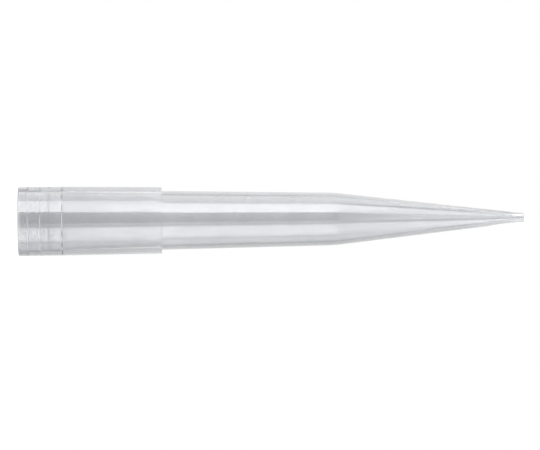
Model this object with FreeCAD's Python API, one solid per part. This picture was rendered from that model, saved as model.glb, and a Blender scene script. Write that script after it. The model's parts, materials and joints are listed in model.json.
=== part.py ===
# A 1000 microlitre pipette tip, moulded in one piece from natural polypropylene.
#
# Millimetres, +Z up. The origin is the centre of the mouth's rim, the flat ring that the tip stands
# on, and +Z runs along the tip's axis from the wide mouth to the fine orifice. Everything is round
# about that axis, so the tip is one closed outline turned once about Z. Heights are measured from
# the rim.
import FreeCAD, Part

import math
import os

# Bore at the mouth, from the rim inwards: mouth, lead-in, land, first seal, groove, and a second
# seal where the tapered bore starts. Each seal's near side is steep.
SEAL_DIA = 8.60  # the first seal grips a nozzle of this size
SEAL_FLAT = 1.05  # length of its straight middle
SEAL_SLOPE = 47.5  # degrees between the axis and the near side of either seal
SEAL_BACK = 0.30  # length of the gentle slope from the first seal to the groove
SECOND_SEAL_STEP = 0.13  # how far the second seal stands in from the first
GROOVE_DEPTH = 0.03  # how far the groove lies out from the first seal
GROOVE_LENGTH = 1.62
GROOVE_DRAFT = 0.01  # how much the groove's wall closes in along its length
LAND_DEPTH = 0.15  # how far the land lies out from the first seal
LAND_LENGTH = 1.60
LAND_DRAFT = 0.01
MOUTH_DEPTH = 0.16  # how far the mouth lies out from the land
MOUTH_LENGTH = 1.30
MOUTH_DRAFT = 0.02
LEAD_IN_SLOPE = 49.5  # degrees between the axis and the slope from the mouth to the land

# Collar: the thick sleeve round the nozzle, which hangs in a rack by its shoulder
COLLAR_LENGTH = 20.3
COLLAR_WALL = 0.60  # from the first seal to the outside, measured at the rim
BELT_HEIGHT = 6.2  # up to here the outside has next to no draft
BELT_DRAFT = 0.03  # how much the outside closes in up to there
SKIRT_DRAFT = 0.16  # and how much from there to the shoulder
SHOULDER_WIDTH = 0.53  # the flat step from the collar in to the body

# Body: the thinner barrel beyond the shoulder
BODY_LENGTH = 24.4
BODY_DRAFT = 0.45
BODY_WALL = 0.42

# Cone and nose: the steep taper, and the short, nearly straight end of it
CONE_LENGTH = 25.2
NOSE_LENGTH = 1.6
NOSE_DRAFT = 0.13
NOSE_WALL = 0.28  # round the orifice
ORIFICE_DIA = 0.76

# Roundings
RIM_OUTER_ROUND = 0.12
RIM_INNER_ROUND = 0.08
MOUTH_ROUND = 0.10
SEAL_ROUND = 0.02
GROOVE_ROUND = 1.5
SHOULDER_ROUND = 0.04
SHOULDER_FILLET = 0.04
BREAK_ROUND = 16.0
NOSE_ROUND = 0.08

ROUND_SHARE = 0.45  # most of a straight stretch that one rounding may use up


def outer_corners():
    """The outside from rim to orifice, as (radius, height, rounding) at each corner."""
    rim = SEAL_DIA / 2 + COLLAR_WALL
    belt = rim - BELT_DRAFT
    shoulder = belt - SKIRT_DRAFT
    body = shoulder - SHOULDER_WIDTH
    nose_end = ORIFICE_DIA / 2 + NOSE_WALL
    break_height = COLLAR_LENGTH + BODY_LENGTH
    nose_height = break_height + CONE_LENGTH
    return [
        (rim, 0, RIM_OUTER_ROUND),
        (belt, BELT_HEIGHT, 0),
        (shoulder, COLLAR_LENGTH, SHOULDER_ROUND),
        (body, COLLAR_LENGTH, SHOULDER_FILLET),
        (body - BODY_DRAFT, break_height, BREAK_ROUND),
        (nose_end + NOSE_DRAFT, nose_height, 0),
        (nose_end, nose_height + NOSE_LENGTH, NOSE_ROUND),
    ]


def body_bore_corners():
    """The inside from orifice to shoulder: the nose's fine bore, the cone's and the barrel's."""
    orifice = ORIFICE_DIA / 2
    body = outer_corners()[3][0] - BODY_WALL
    break_height = COLLAR_LENGTH + BODY_LENGTH
    nose_height = break_height + CONE_LENGTH
    return [
        (orifice, nose_height + NOSE_LENGTH, 0),
        (orifice, nose_height, 0),
        (body - BODY_DRAFT, break_height, BREAK_ROUND),
        (body, COLLAR_LENGTH, 0),
    ]


def nozzle_bore_corners():
    """The inside from the second seal back to the rim, where the pipette's nozzle goes."""
    seal = SEAL_DIA / 2
    second_seal = seal - SECOND_SEAL_STEP
    groove = seal + GROOVE_DEPTH
    land = seal + LAND_DEPTH
    mouth = land + MOUTH_DEPTH
    seal_slope = math.tan(math.radians(SEAL_SLOPE))
    lead_in_slope = math.tan(math.radians(LEAD_IN_SLOPE))
    land_start = MOUTH_LENGTH + MOUTH_DEPTH / lead_in_slope
    land_end = land_start + LAND_LENGTH
    seal_start = land_end + LAND_DEPTH / seal_slope
    seal_end = seal_start + SEAL_FLAT
    groove_start = seal_end + SEAL_BACK
    groove_end = groove_start + GROOVE_LENGTH
    bore_start = groove_end + (groove - second_seal) / seal_slope
    return [
        (second_seal, bore_start, SEAL_ROUND),
        (groove - GROOVE_DRAFT, groove_end, SEAL_ROUND),
        (groove, groove_start, GROOVE_ROUND),
        (seal, seal_end, SEAL_ROUND),
        (seal, seal_start, SEAL_ROUND),
        (land - LAND_DRAFT, land_end, SEAL_ROUND),
        (land, land_start, SEAL_ROUND),
        (mouth - MOUTH_DRAFT, MOUTH_LENGTH, MOUTH_ROUND),
        (mouth, 0, RIM_INNER_ROUND),
    ]


def rounded_corner(before, corner, after, rounding):
    """Start, middle and end of the arc that rounds one corner, or the corner alone if it's sharp."""
    if rounding == 0:
        return [corner]
    back = before - corner
    ahead = after - corner
    slope = math.tan(back.getAngle(ahead) / 2)
    reach = min(rounding / slope, ROUND_SHARE * min(back.Length, ahead.Length))
    back.normalize()
    ahead.normalize()
    middle_way = back + ahead
    to_centre = reach * math.sqrt(1 + slope * slope)
    middle_way.normalize()
    middle = corner + middle_way * (to_centre - reach * slope)
    return [corner + back * reach, middle, corner + ahead * reach]


def rounded_outline(corners):
    """One closed wire in the XZ plane through the corners, with a tangent arc at each rounded one."""
    points = [FreeCAD.Vector(radius, 0, height) for radius, height, _ in corners]
    turns = []
    for i, (_, _, rounding) in enumerate(corners):
        after = points[(i + 1) % len(points)]
        turns.append(rounded_corner(points[i - 1], points[i], after, rounding))
    edges = []
    for i, turn in enumerate(turns):
        if len(turn) == 3:
            edges.append(Part.Arc(*turn).toShape())
        following = turns[(i + 1) % len(turns)][0]
        edges.append(Part.LineSegment(turn[-1], following).toShape())
    return Part.Wire(edges)


def pipette_tip():
    """The whole tip: its outline turned once about its axis."""
    outline = rounded_outline(outer_corners() + body_bore_corners() + nozzle_bore_corners())
    origin = FreeCAD.Vector(0, 0, 0)
    axis = FreeCAD.Vector(0, 0, 1)
    return Part.Face(outline).revolve(origin, axis, 360)


def main():
    os.makedirs("parts", exist_ok=True)
    tip = pipette_tip()
    if not tip.isValid() or len(tip.Solids) != 1:
        raise RuntimeError("the tip isn't one valid solid")
    tip.exportStep("parts/pipette_tip.step")
    print("volume %.2f mm3, length %.2f mm" % (tip.Volume, tip.BoundBox.ZLength))


main()
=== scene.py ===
import json
import math

import bmesh
import bpy
from bpy.props import FloatProperty, FloatVectorProperty, IntProperty, PointerProperty
from mathutils import Matrix, Vector


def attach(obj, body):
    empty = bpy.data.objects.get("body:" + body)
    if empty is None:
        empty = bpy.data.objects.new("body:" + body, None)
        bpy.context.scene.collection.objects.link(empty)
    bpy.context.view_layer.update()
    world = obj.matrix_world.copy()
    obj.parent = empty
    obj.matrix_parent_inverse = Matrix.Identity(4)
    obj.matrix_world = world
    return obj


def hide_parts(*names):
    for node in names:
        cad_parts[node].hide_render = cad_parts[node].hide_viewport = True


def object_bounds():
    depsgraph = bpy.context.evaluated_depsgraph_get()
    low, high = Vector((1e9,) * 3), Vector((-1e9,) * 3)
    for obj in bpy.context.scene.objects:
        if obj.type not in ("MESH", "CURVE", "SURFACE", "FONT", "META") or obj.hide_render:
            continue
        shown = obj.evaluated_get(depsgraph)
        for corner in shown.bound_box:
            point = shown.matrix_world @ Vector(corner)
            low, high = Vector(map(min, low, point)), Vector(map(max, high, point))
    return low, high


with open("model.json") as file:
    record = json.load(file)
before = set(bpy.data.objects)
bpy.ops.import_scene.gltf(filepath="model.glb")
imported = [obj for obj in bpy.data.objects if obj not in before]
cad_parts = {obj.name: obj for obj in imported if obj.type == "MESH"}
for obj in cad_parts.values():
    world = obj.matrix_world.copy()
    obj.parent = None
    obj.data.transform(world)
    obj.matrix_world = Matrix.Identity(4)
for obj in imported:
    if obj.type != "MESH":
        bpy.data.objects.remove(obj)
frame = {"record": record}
cad_low, cad_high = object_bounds()
mounts = {mount["name"]: mount for mount in frame["record"]["mounts"]}

bl_info = {
    "name": "Pipette tip",
    "version": (1, 0, 0),
    "blender": (4, 5, 0),
    "location": "3D View > Sidebar > Pipette tip",
    "description": "Makes a pipette tip of natural polypropylene and the studio round it",
    "category": "Add Mesh",
}

MM = 0.001
SHOULDER_HEIGHT = mounts["rack_shoulder"]["pos_m"][2]
NOZZLE_DIA = 2 * mounts["nozzle_bore"]["dims"]["r_mm"] * MM

# Roundings of the tip's corners. The shoulder's two are sharper than the solid's, because at
# 0.04 mm they would draw a dark line across the shoulder.
RIM_OUTER_ROUND = 0.12 * MM
RIM_INNER_ROUND = 0.08 * MM
SHOULDER_ROUND = 0.01 * MM
SHOULDER_FILLET = 0.01 * MM
SEAL_ROUND = 0.02 * MM
GROOVE_ROUND = 1.5 * MM
MOUTH_ROUND = 0.10 * MM
BREAK_ROUND = 16 * MM
NOSE_ROUND = 0.08 * MM
ROUND_SHARE = 0.45  # most of a straight stretch that one rounding may use up

# How finely the outline is divided
ARC_STEP = math.radians(9)
FEWEST_ARC_STEPS = 2
RING_SPACING = 1.2 * MM
HOLD = 0.02 * MM  # a ring this near each rounding keeps the straight stretch beside it straight
SHORTEST_HELD = 4 * HOLD  # a shorter stretch gets no rings
SHARP_ANGLE = math.radians(30)  # the surface is shaded smooth over edges that turn less than this

# Plastic
RESIN_IOR = 1.49  # of polypropylene
CLEARING = 11 * MM  # from the break, the wall turns as clear as the thin cone's over this length
CLEAREST, CLOUDIEST = 0.35, 0.65  # levels of the noise that count as clearest and cloudiest
STREAK_SHAPE = 0.03  # width of the drawn lines as a share of their length

# Studio
FLOOR_SEGMENTS = 128
PAPER_GRAIN = 0.8 * MM  # coarser than real paper's, which would be too fine to show
PAPER_RELIEF = 0.02 * MM
PAPER_GLOW = 0.8  # lifts the paper to about white for the camera
FADE_START, FADE_END = 0.3, 0.9  # shares of the floor's radius between which it turns white
GAUZE_PATCH = 8 * MM  # size of the gauzes' denser and thinner patches
GAUZE_UNEVENNESS = 0.04  # how much more or less light they let by
BOUNCES = 32  # enough for light that runs along inside the wall of the tip

# Camera
SENSOR_WIDTH = 36  # in millimetres, like the focal length
VIEW_WIDTH = 1.0696  # as a share of the tip's length
AIM = (0.78 * MM, 0, 35.6 * MM)
ROLL = math.radians(-0.45)

# How often the tip may bend or reflect a lamp's light. The counts are whole numbers, so each limit
# lies halfway between two.
BENT_BY_ONE_WALL = 2.5  # light is bent twice: as it enters the wall and as it leaves
REFLECTED_NEVER = 0.5
REFLECTED_ONCE = 1.5


def linear(hex_colour):
    """A colour written as sRGB hex, such as "D0D1D4", as linear red, green and blue."""
    levels = [int(hex_colour[i : i + 2], 16) / 255 for i in (0, 2, 4)]
    return [v / 12.92 if v <= 0.04045 else ((v + 0.055) / 1.055) ** 2.4 for v in levels]


def size(name, description, default):
    """A size in metres that the panel shows."""
    return FloatProperty(
        name=name,
        description=description,
        default=default,
        min=0,
        precision=5,
        unit="LENGTH",
        subtype="DISTANCE",
    )


def angle(name, description, degrees):
    """An angle that the panel shows."""
    return FloatProperty(
        name=name,
        description=description,
        default=math.radians(degrees),
        min=0.01,
        subtype="ANGLE",
    )


def share(name, description, default):
    """A share from 0 to 1 that the panel shows."""
    return FloatProperty(
        name=name, description=description, default=default, min=0, max=1, subtype="FACTOR"
    )


def brightness(name, description, default):
    """A brightness that the panel shows."""
    return FloatProperty(name=name, description=description, default=default, min=0)


def colour(name, description, default):
    """A colour that the panel shows, with its default as sRGB hex."""
    return FloatVectorProperty(
        name=name,
        description=description,
        default=linear(default),
        min=0,
        max=1,
        subtype="COLOR",
    )


class TipSizes(bpy.types.PropertyGroup):
    """Sizes of the tip."""

    total: size("Length", "From the rim to the orifice", cad_high.z)
    rim: size("Rim diameter", "Outside of the collar at the mouth", cad_high.x - cad_low.x)
    collar: size("Collar length", "From the rim to the shoulder", SHOULDER_HEIGHT)
    belt: size("Belt height", "From the rim to where the collar's draft begins", 6.2 * MM)
    belt_draft: size("Belt draft", "How much the belt's radius closes in along it", 0.03 * MM)
    skirt_draft: size("Skirt draft", "The same, from the belt to the shoulder", 0.16 * MM)
    shoulder: size("Shoulder width", "The flat step from the collar in to the body", 0.53 * MM)
    body: size("Body length", "From the shoulder to the break", 24.4 * MM)
    body_draft: size("Body draft", "How much the body's radius closes in along it", 0.45 * MM)
    body_wall: size("Body wall", "Thickness of the body's wall", 0.42 * MM)
    nose: size("Nose length", "The nearly straight end of the cone", 1.6 * MM)
    nose_draft: size("Nose draft", "How much the nose's radius closes in along it", 0.13 * MM)
    nose_wall: size("Nose wall", "Thickness of the wall round the orifice", 0.28 * MM)
    orifice: size("Orifice diameter", "Bore of the nose", 0.76 * MM)
    seal: size("Seal diameter", "Where the first seal grips", NOZZLE_DIA)
    second_seal: size("Second seal", "How far it stands in from the first seal", 0.13 * MM)
    seal_flat: size("Seal flat", "Length of the first seal's straight middle", 1.05 * MM)
    seal_back: size("Seal back", "Length of the slope from the first seal to the groove", 0.30 * MM)
    seal_slope: angle("Seal slope", "Between the axis and the near side of either seal", 47.5)
    groove_depth: size("Groove depth", "How far the groove lies out from the first seal", 0.03 * MM)
    groove: size("Groove length", "From the first seal's back to the second seal", 1.62 * MM)
    groove_draft: size("Groove draft", "How much the groove's radius closes in along it", 0.01 * MM)
    land_depth: size("Land depth", "How far the land lies out from the first seal", 0.15 * MM)
    land: size("Land length", "From the lead-in to the first seal", 1.60 * MM)
    land_draft: size("Land draft", "How much the land's radius closes in along it", 0.01 * MM)
    mouth_depth: size("Mouth depth", "How far the mouth lies out from the land", 0.16 * MM)
    mouth: size("Mouth length", "From the rim to the lead-in", 1.30 * MM)
    mouth_draft: size("Mouth draft", "How much the mouth's radius closes in along it", 0.02 * MM)
    lead_in_slope: angle("Lead-in slope", "Between the axis and the slope from mouth to land", 49.5)
    segments: IntProperty(name="Segments", description="Faces round the tip", default=192, min=24)


class TipFinish(bpy.types.PropertyGroup):
    """Finish of the tip's plastic."""

    mouth_resin: colour("Mouth resin", "Grey of the thick, stepped wall at the mouth", "CECFD2")
    wall_resin: colour("Wall resin", "Grey of the wall from the shoulder to the break", "D6D7D9")
    cone_resin: colour("Cone resin", "Grey of the cone's thin wall", "DADBDD")
    cloudiness: share("Cloudiness", "Share of light lost where cloudiest", 0.05)
    cloud: size("Cloud size", "Width of the clearer and cloudier patches", 5 * MM)
    streak: size("Streak width", "Width of the lines drawn along the mould", 0.5 * MM)
    streak_depth: size("Streak depth", "How deep those lines are", 0.0004 * MM)
    roughness: share("Roughness", "Of the moulded surface", 0.06)


class StudioLook(bpy.types.PropertyGroup):
    """The floor, the white surround, the lamps, the gauzes and the camera."""

    floor: colour("Floor", "Colour of the floor", "F2F2F2")
    floor_radius: size("Floor radius", "From the tip to the floor's edge", 0.3)
    surround: brightness("Surround", "Light from all round", 0.2)
    lamps: brightness("Lamps", "Brightness of all softboxes", 1)
    gauze: share("Gauze", "Share of light that a gauze lets by", 0.78)
    lamp_distance: size("Lamp distance", "From the tip's axis to the softboxes and gauzes", 0.5)
    camera_distance: size("Camera distance", "From the tip's axis to the camera", 1)


def outline_corners(tip):
    """The tip's outline as (radius, height, rounding): up the outside, then back down the bore."""
    rim = tip.rim / 2
    shoulder = rim - tip.belt_draft - tip.skirt_draft
    body = shoulder - tip.shoulder
    bore = body - tip.body_wall
    orifice = tip.orifice / 2
    nose = orifice + tip.nose_wall
    seal = tip.seal / 2
    second_seal = seal - tip.second_seal
    groove = seal + tip.groove_depth
    land = seal + tip.land_depth
    mouth = land + tip.mouth_depth
    break_height = tip.collar + tip.body
    nose_height = tip.total - tip.nose
    land_start = tip.mouth + tip.mouth_depth / math.tan(tip.lead_in_slope)
    land_end = land_start + tip.land
    seal_start = land_end + tip.land_depth / math.tan(tip.seal_slope)
    seal_end = seal_start + tip.seal_flat
    groove_start = seal_end + tip.seal_back
    groove_end = groove_start + tip.groove
    bore_start = groove_end + (groove - second_seal) / math.tan(tip.seal_slope)
    return [
        (rim, 0, RIM_OUTER_ROUND),
        (rim - tip.belt_draft, tip.belt, 0),
        (shoulder, tip.collar, SHOULDER_ROUND),
        (body, tip.collar, SHOULDER_FILLET),
        (body - tip.body_draft, break_height, BREAK_ROUND),
        (nose + tip.nose_draft, nose_height, 0),
        (nose, tip.total, NOSE_ROUND),
        (orifice, tip.total, 0),
        (orifice, nose_height, 0),
        (bore - tip.body_draft, break_height, BREAK_ROUND),
        (bore, tip.collar, 0),
        (second_seal, bore_start, SEAL_ROUND),
        (groove - tip.groove_draft, groove_end, SEAL_ROUND),
        (groove, groove_start, GROOVE_ROUND),
        (seal, seal_end, SEAL_ROUND),
        (seal, seal_start, SEAL_ROUND),
        (land - tip.land_draft, land_end, SEAL_ROUND),
        (land, land_start, SEAL_ROUND),
        (mouth - tip.mouth_draft, tip.mouth, MOUTH_ROUND),
        (mouth, 0, RIM_INNER_ROUND),
    ]


def rounded_corner(before, corner, after, rounding):
    """Points along the arc that rounds one corner, or the corner alone if it's sharp."""
    if rounding == 0:
        return [corner]
    back = before - corner
    ahead = after - corner
    half_angle = back.angle(ahead) / 2
    reach = min(rounding / math.tan(half_angle), ROUND_SHARE * min(back.length, ahead.length))
    start = corner + back.normalized() * reach
    end = corner + ahead.normalized() * reach
    middle_way = (back.normalized() + ahead.normalized()).normalized()
    centre = corner + middle_way * (reach / math.cos(half_angle))
    turn = (start - centre).angle_signed(end - centre)
    steps = max(FEWEST_ARC_STEPS, math.ceil(abs(turn) / ARC_STEP))
    turned = [Matrix.Rotation(-turn * i / steps, 2) for i in range(steps + 1)]
    return [centre + rotation @ (start - centre) for rotation in turned]


def straight_stretch(start, end):
    """Points between two corners: a holding ring at each end, and rings evenly between them."""
    run = end - start
    if run.length < SHORTEST_HELD:
        return []
    hold = run.normalized() * HOLD
    first = start + hold
    last = end - hold
    count = math.ceil((last - first).length / RING_SPACING)
    return [first.lerp(last, i / count) for i in range(count + 1)]


def outline(corners):
    """All points of the closed outline, as 2-D vectors of radius and height."""
    points = [Vector((radius, height)) for radius, height, _ in corners]
    turns = []
    for i, (_, _, rounding) in enumerate(corners):
        after = points[(i + 1) % len(points)]
        turns.append(rounded_corner(points[i - 1], points[i], after, rounding))
    path = []
    for i, turn in enumerate(turns):
        path += turn
        path += straight_stretch(turn[-1], turns[(i + 1) % len(turns)][0])
    return path


def turned_mesh(name, path, segments):
    """A mesh made by turning a closed outline once about Z."""
    bm = bmesh.new()
    ring = [bm.verts.new((point.x, 0, point.y)) for point in path]
    edges = [bm.edges.new((ring[i - 1], ring[i])) for i in range(len(ring))]
    once_round = {"cent": (0, 0, 0), "axis": (0, 0, 1), "angle": 2 * math.pi, "steps": segments}
    bmesh.ops.spin(bm, geom=ring + edges, use_merge=True, **once_round)
    bmesh.ops.recalc_face_normals(bm, faces=bm.faces)
    mesh = bpy.data.meshes.new(name)
    bm.to_mesh(mesh)
    bm.free()
    mesh.shade_smooth()
    mesh.set_sharp_from_angle(angle=SHARP_ANGLE)
    return mesh


def new_object(name, data):
    """An object in the scene that holds the given mesh, lamp or camera."""
    made = bpy.data.objects.new(name, data)
    bpy.context.scene.collection.objects.link(made)
    return made


def add_node(tree, kind, inputs, **settings):
    """Adds a node with its settings, and gives its inputs values or links from other nodes."""
    node = tree.nodes.new(kind)
    for name, value in settings.items():
        setattr(node, name, value)
    for name, value in inputs.items():
        if isinstance(value, bpy.types.NodeSocket):
            tree.links.new(value, node.inputs[name])
        else:
            node.inputs[name].default_value = value
    return node


def natural_polypropylene(finish, sizes):
    """Natural polypropylene, injection moulded with no pigment in a polished steel mould.

    The polished steel gives sharp reflections. The bare resin lets the light through, a little
    greyer at each wall: most at the mouth, where the wall is thick and cools slowly into larger
    crystals, and least in the thin cone. It also has cloudier patches, and faint lines along the
    way in which the tip was drawn off its core. Those are drawn wider than real ones, which would
    be too fine to show.
    """
    material = bpy.data.materials.new("injection_moulded_natural_polypropylene")
    material.use_nodes = True
    tree = material.node_tree
    shader = tree.nodes["Principled BSDF"]
    shader.inputs["Transmission Weight"].default_value = 1
    shader.inputs["Roughness"].default_value = finish.roughness
    shader.inputs["IOR"].default_value = RESIN_IOR
    place = add_node(tree, "ShaderNodeTexCoord", {}).outputs["Object"]
    up = add_node(tree, "ShaderNodeSeparateXYZ", {"Vector": place}).outputs["Z"]
    along = add_node(tree, "ShaderNodeMapRange", {"Value": up, "From Max": sizes.total})
    resin = add_node(tree, "ShaderNodeValToRGB", {"Fac": along.outputs["Result"]})
    break_height = sizes.collar + sizes.body
    greys = {
        sizes.belt: finish.mouth_resin,
        sizes.collar: finish.wall_resin,
        break_height: finish.wall_resin,
        break_height + CLEARING: finish.cone_resin,
    }
    stops = resin.color_ramp.elements
    while len(stops) < len(greys):
        stops.new(0)
    for stop, (height, grey) in zip(stops, greys.items()):
        stop.position = height / sizes.total
        stop.color = (*grey, 1)
    clouds = add_node(
        tree, "ShaderNodeTexNoise", {"Vector": place, "Scale": 1 / finish.cloud, "Detail": 3}
    )
    light_left = add_node(
        tree,
        "ShaderNodeMapRange",
        {
            "Value": clouds.outputs["Fac"],
            "From Min": CLEAREST,
            "From Max": CLOUDIEST,
            "To Min": 1,
            "To Max": 1 - finish.cloudiness,
        },
    )
    cloudy = add_node(
        tree,
        "ShaderNodeVectorMath",
        {0: resin.outputs["Color"], "Scale": light_left.outputs["Result"]},
        operation="SCALE",
    )
    tree.links.new(cloudy.outputs["Vector"], shader.inputs["Base Color"])
    drawn = add_node(
        tree, "ShaderNodeMapping", {"Vector": place, "Scale": (1, 1, STREAK_SHAPE)}
    ).outputs["Vector"]
    streaks = add_node(
        tree, "ShaderNodeTexNoise", {"Vector": drawn, "Scale": 1 / finish.streak, "Detail": 2}
    ).outputs["Fac"]
    lined = add_node(
        tree,
        "ShaderNodeBump",
        {"Height": streaks, "Strength": 1, "Distance": finish.streak_depth},
    )
    tree.links.new(lined.outputs["Normal"], shader.inputs["Normal"])
    return material


class OBJECT_OT_make_pipette_tip(bpy.types.Operator):
    """Makes the tip and has it stand for the solid of the same name"""

    bl_idname = "object.make_pipette_tip"
    bl_label = "Pipette tip"

    def execute(self, context):
        sizes = context.scene.tip_sizes
        mesh = turned_mesh("moulded_tip", outline(outline_corners(sizes)), sizes.segments)
        mesh.materials.append(natural_polypropylene(context.scene.tip_finish, sizes))
        tip = new_object("moulded_tip", mesh)
        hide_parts("pipette_tip")
        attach(tip, "root")
        return {"FINISHED"}


# Softboxes and gauzes are panels that stand round the tip's axis. Each has the direction of its
# middle, in degrees from the camera towards -X, the angle that it fills, and its lowest and highest
# edge in metres. The lowest panels show in the mouth and the collar, the highest in the cone. A
# softbox also has its brightness, where that of the white surround is 1.
SOFTBOXES = {
    "mouth_key_softbox": (51, 40, -0.03, -0.001, 6.4),
    "collar_key_softbox": (51, 40, -0.001, 0.027, 5.5),
    "key_softbox": (51, 40, 0.027, 0.166, 6),
    "upper_key_softbox": (51, 40, 0.166, 0.205, 4),
    "mouth_side_softbox": (94, 47, -0.03, -0.001, 3),
    "side_softbox": (94, 47, -0.001, 0.15, 2.3),
    "mouth_fill_softbox": (-47, 50, -0.03, -0.001, 2.6),
    "fill_softbox": (-47, 50, -0.001, 0.21, 2),
    "wide_softbox": (-60, 104, -0.03, 0.21, 1.2),
    "overhead_softbox": (-10, 90, 0.15, 0.23, 0.7),
    "front_softbox": (12, 34, 0.179, 0.22, 1.8),
}
GAUZES = {
    "gauze": (-147, 36, -0.15, 0.35),
    "upper_gauze": (130, 50, 0.13, 0.35),
    "lower_gauze": (-118, 26, 0.13, 0.35),
}


def panel_size(spread, low, high, distance):
    """Width and height of a panel that fills the angle `spread`, in degrees."""
    return 2 * distance * math.tan(math.radians(spread) / 2), high - low


def stand(panel, direction, low, high, distance):
    """Stands a panel round the tip's axis, which it faces, out of the camera's sight."""
    turn = math.radians(direction)
    away = Vector((-math.sin(turn), -math.cos(turn), 0))
    upright = Matrix((Vector((0, 0, 1)).cross(away), (0, 0, 1), away)).transposed().to_4x4()
    middle = away * distance + Vector((0, 0, (low + high) / 2))
    panel.matrix_world = Matrix.Translation(middle) @ upright
    panel.visible_camera = False


def shown_by_tip(tree):
    """1 for the light of a lamp that the tip may show, else 0.

    That is light off one surface of the tip, behind any number of its walls, and light through one
    wall. Light straight through both walls would turn the tip as white as what lies round it, and
    light off two surfaces would draw sparks in the rings of its bore.
    """
    path = add_node(tree, "ShaderNodeLightPath", {})
    bends = path.outputs["Transmission Depth"]
    reflections = path.outputs["Glossy Depth"]
    one_wall = add_node(
        tree, "ShaderNodeMath", {0: bends, 1: BENT_BY_ONE_WALL}, operation="LESS_THAN"
    )
    reflected = add_node(
        tree, "ShaderNodeMath", {0: reflections, 1: REFLECTED_NEVER}, operation="GREATER_THAN"
    )
    not_again = add_node(
        tree, "ShaderNodeMath", {0: reflections, 1: REFLECTED_ONCE}, operation="LESS_THAN"
    )
    either = add_node(
        tree,
        "ShaderNodeMath",
        {0: one_wall.outputs[0], 1: reflected.outputs[0]},
        operation="MAXIMUM",
    )
    shown = add_node(
        tree,
        "ShaderNodeMath",
        {0: either.outputs[0], 1: not_again.outputs[0]},
        operation="MULTIPLY",
    )
    return shown.outputs[0]


def softbox(look, name, direction, spread, low, high, strength):
    """A soft rectangular lamp. What the tip doesn't show of it still lights the floor."""
    lamp = bpy.data.lights.new(name, "AREA")
    lamp.shape = "RECTANGLE"
    lamp.size, lamp.size_y = panel_size(spread, low, high, look.lamp_distance)
    lamp.energy = math.pi * lamp.size * lamp.size_y * (strength * look.lamps)
    lamp.use_nodes = True
    tree = lamp.node_tree
    tree.links.new(shown_by_tip(tree), tree.nodes["Emission"].inputs["Strength"])
    stand(new_object(name, lamp), direction, low, high, look.lamp_distance)


def grey_gauze(let_by):
    """Grey polyester gauze, an open and slightly uneven weave that dims the white behind it.

    The threads are far too fine to show, so only the uneven patches are drawn.
    """
    material = bpy.data.materials.new("grey_polyester_gauze")
    material.use_nodes = True
    tree = material.node_tree
    tree.nodes.clear()
    place = add_node(tree, "ShaderNodeTexCoord", {}).outputs["Object"]
    patches = add_node(
        tree, "ShaderNodeTexNoise", {"Vector": place, "Scale": 1 / GAUZE_PATCH}
    ).outputs["Fac"]
    least = let_by - GAUZE_UNEVENNESS
    most = let_by + GAUZE_UNEVENNESS
    density = add_node(
        tree, "ShaderNodeMapRange", {"Value": patches, "To Min": least, "To Max": most}
    )
    net = add_node(tree, "ShaderNodeBsdfTransparent", {"Color": density.outputs["Result"]})
    add_node(tree, "ShaderNodeOutputMaterial", {"Surface": net.outputs[0]})
    return material


def gauze(look, material, name, direction, spread, low, high):
    """A gauze that stands behind the tip, where an edge of the clear plastic bends the view to."""
    width, height = panel_size(spread, low, high, look.lamp_distance)
    bm = bmesh.new()
    bmesh.ops.create_grid(bm, size=0.5, matrix=Matrix.Diagonal((width, height, 1, 1)))
    mesh = bpy.data.meshes.new(name)
    bm.to_mesh(mesh)
    bm.free()
    mesh.materials.append(material)
    panel = new_object(name, mesh)
    stand(panel, direction, low, high, look.lamp_distance)
    panel.visible_diffuse = False
    panel.visible_shadow = False


def sight(tree):
    """Two on-off values: 1 for rays from the camera, and 1 for rays off or through the plastic."""
    path = add_node(tree, "ShaderNodeLightPath", {})
    by_plastic = add_node(
        tree,
        "ShaderNodeMath",
        {0: path.outputs["Is Glossy Ray"], 1: path.outputs["Is Transmission Ray"]},
        operation="MAXIMUM",
    )
    return path.outputs["Is Camera Ray"], by_plastic.outputs[0]


def white_surround(strength):
    """A world that looks white and lights the rest softly."""
    world = bpy.data.worlds.new("white_surround")
    world.use_nodes = True
    tree = world.node_tree
    tree.nodes.clear()
    light = add_node(tree, "ShaderNodeBackground", {"Color": (1, 1, 1, 1), "Strength": strength})
    white = add_node(tree, "ShaderNodeBackground", {"Color": (1, 1, 1, 1), "Strength": 1})
    from_camera, by_plastic = sight(tree)
    seen = add_node(
        tree, "ShaderNodeMath", {0: from_camera, 1: by_plastic}, operation="MAXIMUM"
    )
    both = add_node(
        tree,
        "ShaderNodeMixShader",
        {0: seen.outputs[0], 1: light.outputs[0], 2: white.outputs[0]},
    )
    add_node(tree, "ShaderNodeOutputWorld", {"Surface": both.outputs[0]})
    bpy.context.scene.world = world


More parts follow.
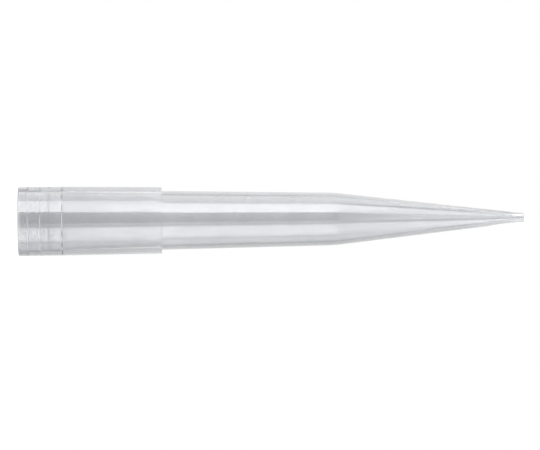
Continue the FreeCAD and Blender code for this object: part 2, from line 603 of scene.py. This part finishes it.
def floor_paper(shade, radius):
    """Matt white background paper, which fades into the white surround towards the floor's edge.

    It is clear to light that comes off or through the plastic, as if the surround went on there.
    """
    material = bpy.data.materials.new("matt_white_paper")
    material.use_nodes = True
    tree = material.node_tree
    tree.nodes.clear()
    place = add_node(tree, "ShaderNodeTexCoord", {}).outputs["Object"]
    grain = add_node(
        tree, "ShaderNodeTexNoise", {"Vector": place, "Scale": 1 / PAPER_GRAIN, "Detail": 3}
    ).outputs["Fac"]
    rough = add_node(
        tree, "ShaderNodeBump", {"Height": grain, "Strength": 1, "Distance": PAPER_RELIEF}
    ).outputs["Normal"]
    paper = add_node(tree, "ShaderNodeBsdfDiffuse", {"Color": (*shade, 1), "Normal": rough})
    glow = add_node(tree, "ShaderNodeEmission", {"Color": (1, 1, 1, 1), "Strength": PAPER_GLOW})
    lifted = add_node(tree, "ShaderNodeAddShader", {0: paper.outputs[0], 1: glow.outputs[0]})
    white = add_node(tree, "ShaderNodeEmission", {"Color": (1, 1, 1, 1), "Strength": 1})
    far = add_node(tree, "ShaderNodeVectorMath", {0: place}, operation="LENGTH").outputs["Value"]
    fade = add_node(
        tree,
        "ShaderNodeMapRange",
        {"Value": far, "From Min": FADE_START * radius, "From Max": FADE_END * radius},
        interpolation_type="SMOOTHSTEP",
    )
    seen = add_node(
        tree,
        "ShaderNodeMixShader",
        {0: fade.outputs["Result"], 1: lifted.outputs[0], 2: white.outputs[0]},
    )
    from_camera, by_plastic = sight(tree)
    look = add_node(
        tree,
        "ShaderNodeMixShader",
        {0: from_camera, 1: paper.outputs[0], 2: seen.outputs[0]},
    )
    clear = add_node(tree, "ShaderNodeBsdfTransparent", {})
    whole = add_node(
        tree,
        "ShaderNodeMixShader",
        {0: by_plastic, 1: look.outputs[0], 2: clear.outputs[0]},
    )
    add_node(tree, "ShaderNodeOutputMaterial", {"Surface": whole.outputs[0]})
    return material


def floor(look):
    """A round floor at the tip's rim."""
    bm = bmesh.new()
    bmesh.ops.create_circle(
        bm, cap_ends=True, radius=look.floor_radius, segments=FLOOR_SEGMENTS
    )
    mesh = bpy.data.meshes.new("floor")
    bm.to_mesh(mesh)
    bm.free()
    mesh.materials.append(floor_paper(look.floor, look.floor_radius))
    new_object("floor", mesh)


def camera(distance):
    """The camera looks along +Y at the tip's side, with the tip lying nearly level, mouth left."""
    lens = bpy.data.cameras.new("camera")
    place = new_object("camera", lens)
    view_width = VIEW_WIDTH * (cad_high.z - cad_low.z)
    lens.sensor_width = SENSOR_WIDTH
    lens.lens = SENSOR_WIDTH * distance / view_width
    viewpoint = Vector(AIM) + Vector((0, -distance, 0))
    level = Matrix(((0, 0, 1), (-1, 0, 0), (0, -1, 0))).transposed().to_4x4()
    roll = Matrix.Rotation(ROLL, 4, "Z")
    place.matrix_world = Matrix.Translation(viewpoint) @ level @ roll
    bpy.context.scene.camera = place


class OBJECT_OT_make_studio(bpy.types.Operator):
    """Makes the floor, the white surround, the softboxes, the gauzes and the camera"""

    bl_idname = "object.make_studio"
    bl_label = "Studio"

    def execute(self, context):
        look = context.scene.studio_look
        context.scene.view_settings.view_transform = "Standard"
        floor(look)
        white_surround(look.surround)
        for name, panel in SOFTBOXES.items():
            softbox(look, name, *panel)
        net = grey_gauze(look.gauze)
        for name, panel in GAUZES.items():
            gauze(look, net, name, *panel)
        camera(look.camera_distance)
        context.scene.cycles.max_bounces = BOUNCES
        context.scene.cycles.glossy_bounces = BOUNCES
        context.scene.cycles.transmission_bounces = BOUNCES
        return {"FINISHED"}


class VIEW3D_PT_pipette_tip(bpy.types.Panel):
    """Sizes, finish and studio of the tip, and the buttons that make them"""

    bl_label = "Pipette tip"
    bl_space_type = "VIEW_3D"
    bl_region_type = "UI"
    bl_category = "Pipette tip"

    def draw(self, context):
        scene = context.scene
        self.layout.operator(OBJECT_OT_make_pipette_tip.bl_idname)
        for group in (scene.tip_sizes, scene.tip_finish):
            for name in group.__annotations__:
                self.layout.prop(group, name)
        self.layout.operator(OBJECT_OT_make_studio.bl_idname)
        for name in scene.studio_look.__annotations__:
            self.layout.prop(scene.studio_look, name)


GROUPS = {"tip_sizes": TipSizes, "tip_finish": TipFinish, "studio_look": StudioLook}
CLASSES = (
    *GROUPS.values(),
    OBJECT_OT_make_pipette_tip,
    OBJECT_OT_make_studio,
    VIEW3D_PT_pipette_tip,
)


def register():
    for cls in CLASSES:
        bpy.utils.register_class(cls)
    for name, group in GROUPS.items():
        setattr(bpy.types.Scene, name, PointerProperty(type=group))


def unregister():
    for name in GROUPS:
        delattr(bpy.types.Scene, name)
    for cls in reversed(CLASSES):
        bpy.utils.unregister_class(cls)


def main():
    register()
    bpy.ops.object.make_pipette_tip()
    bpy.ops.object.make_studio()


if __name__ == "__main__":
    main()
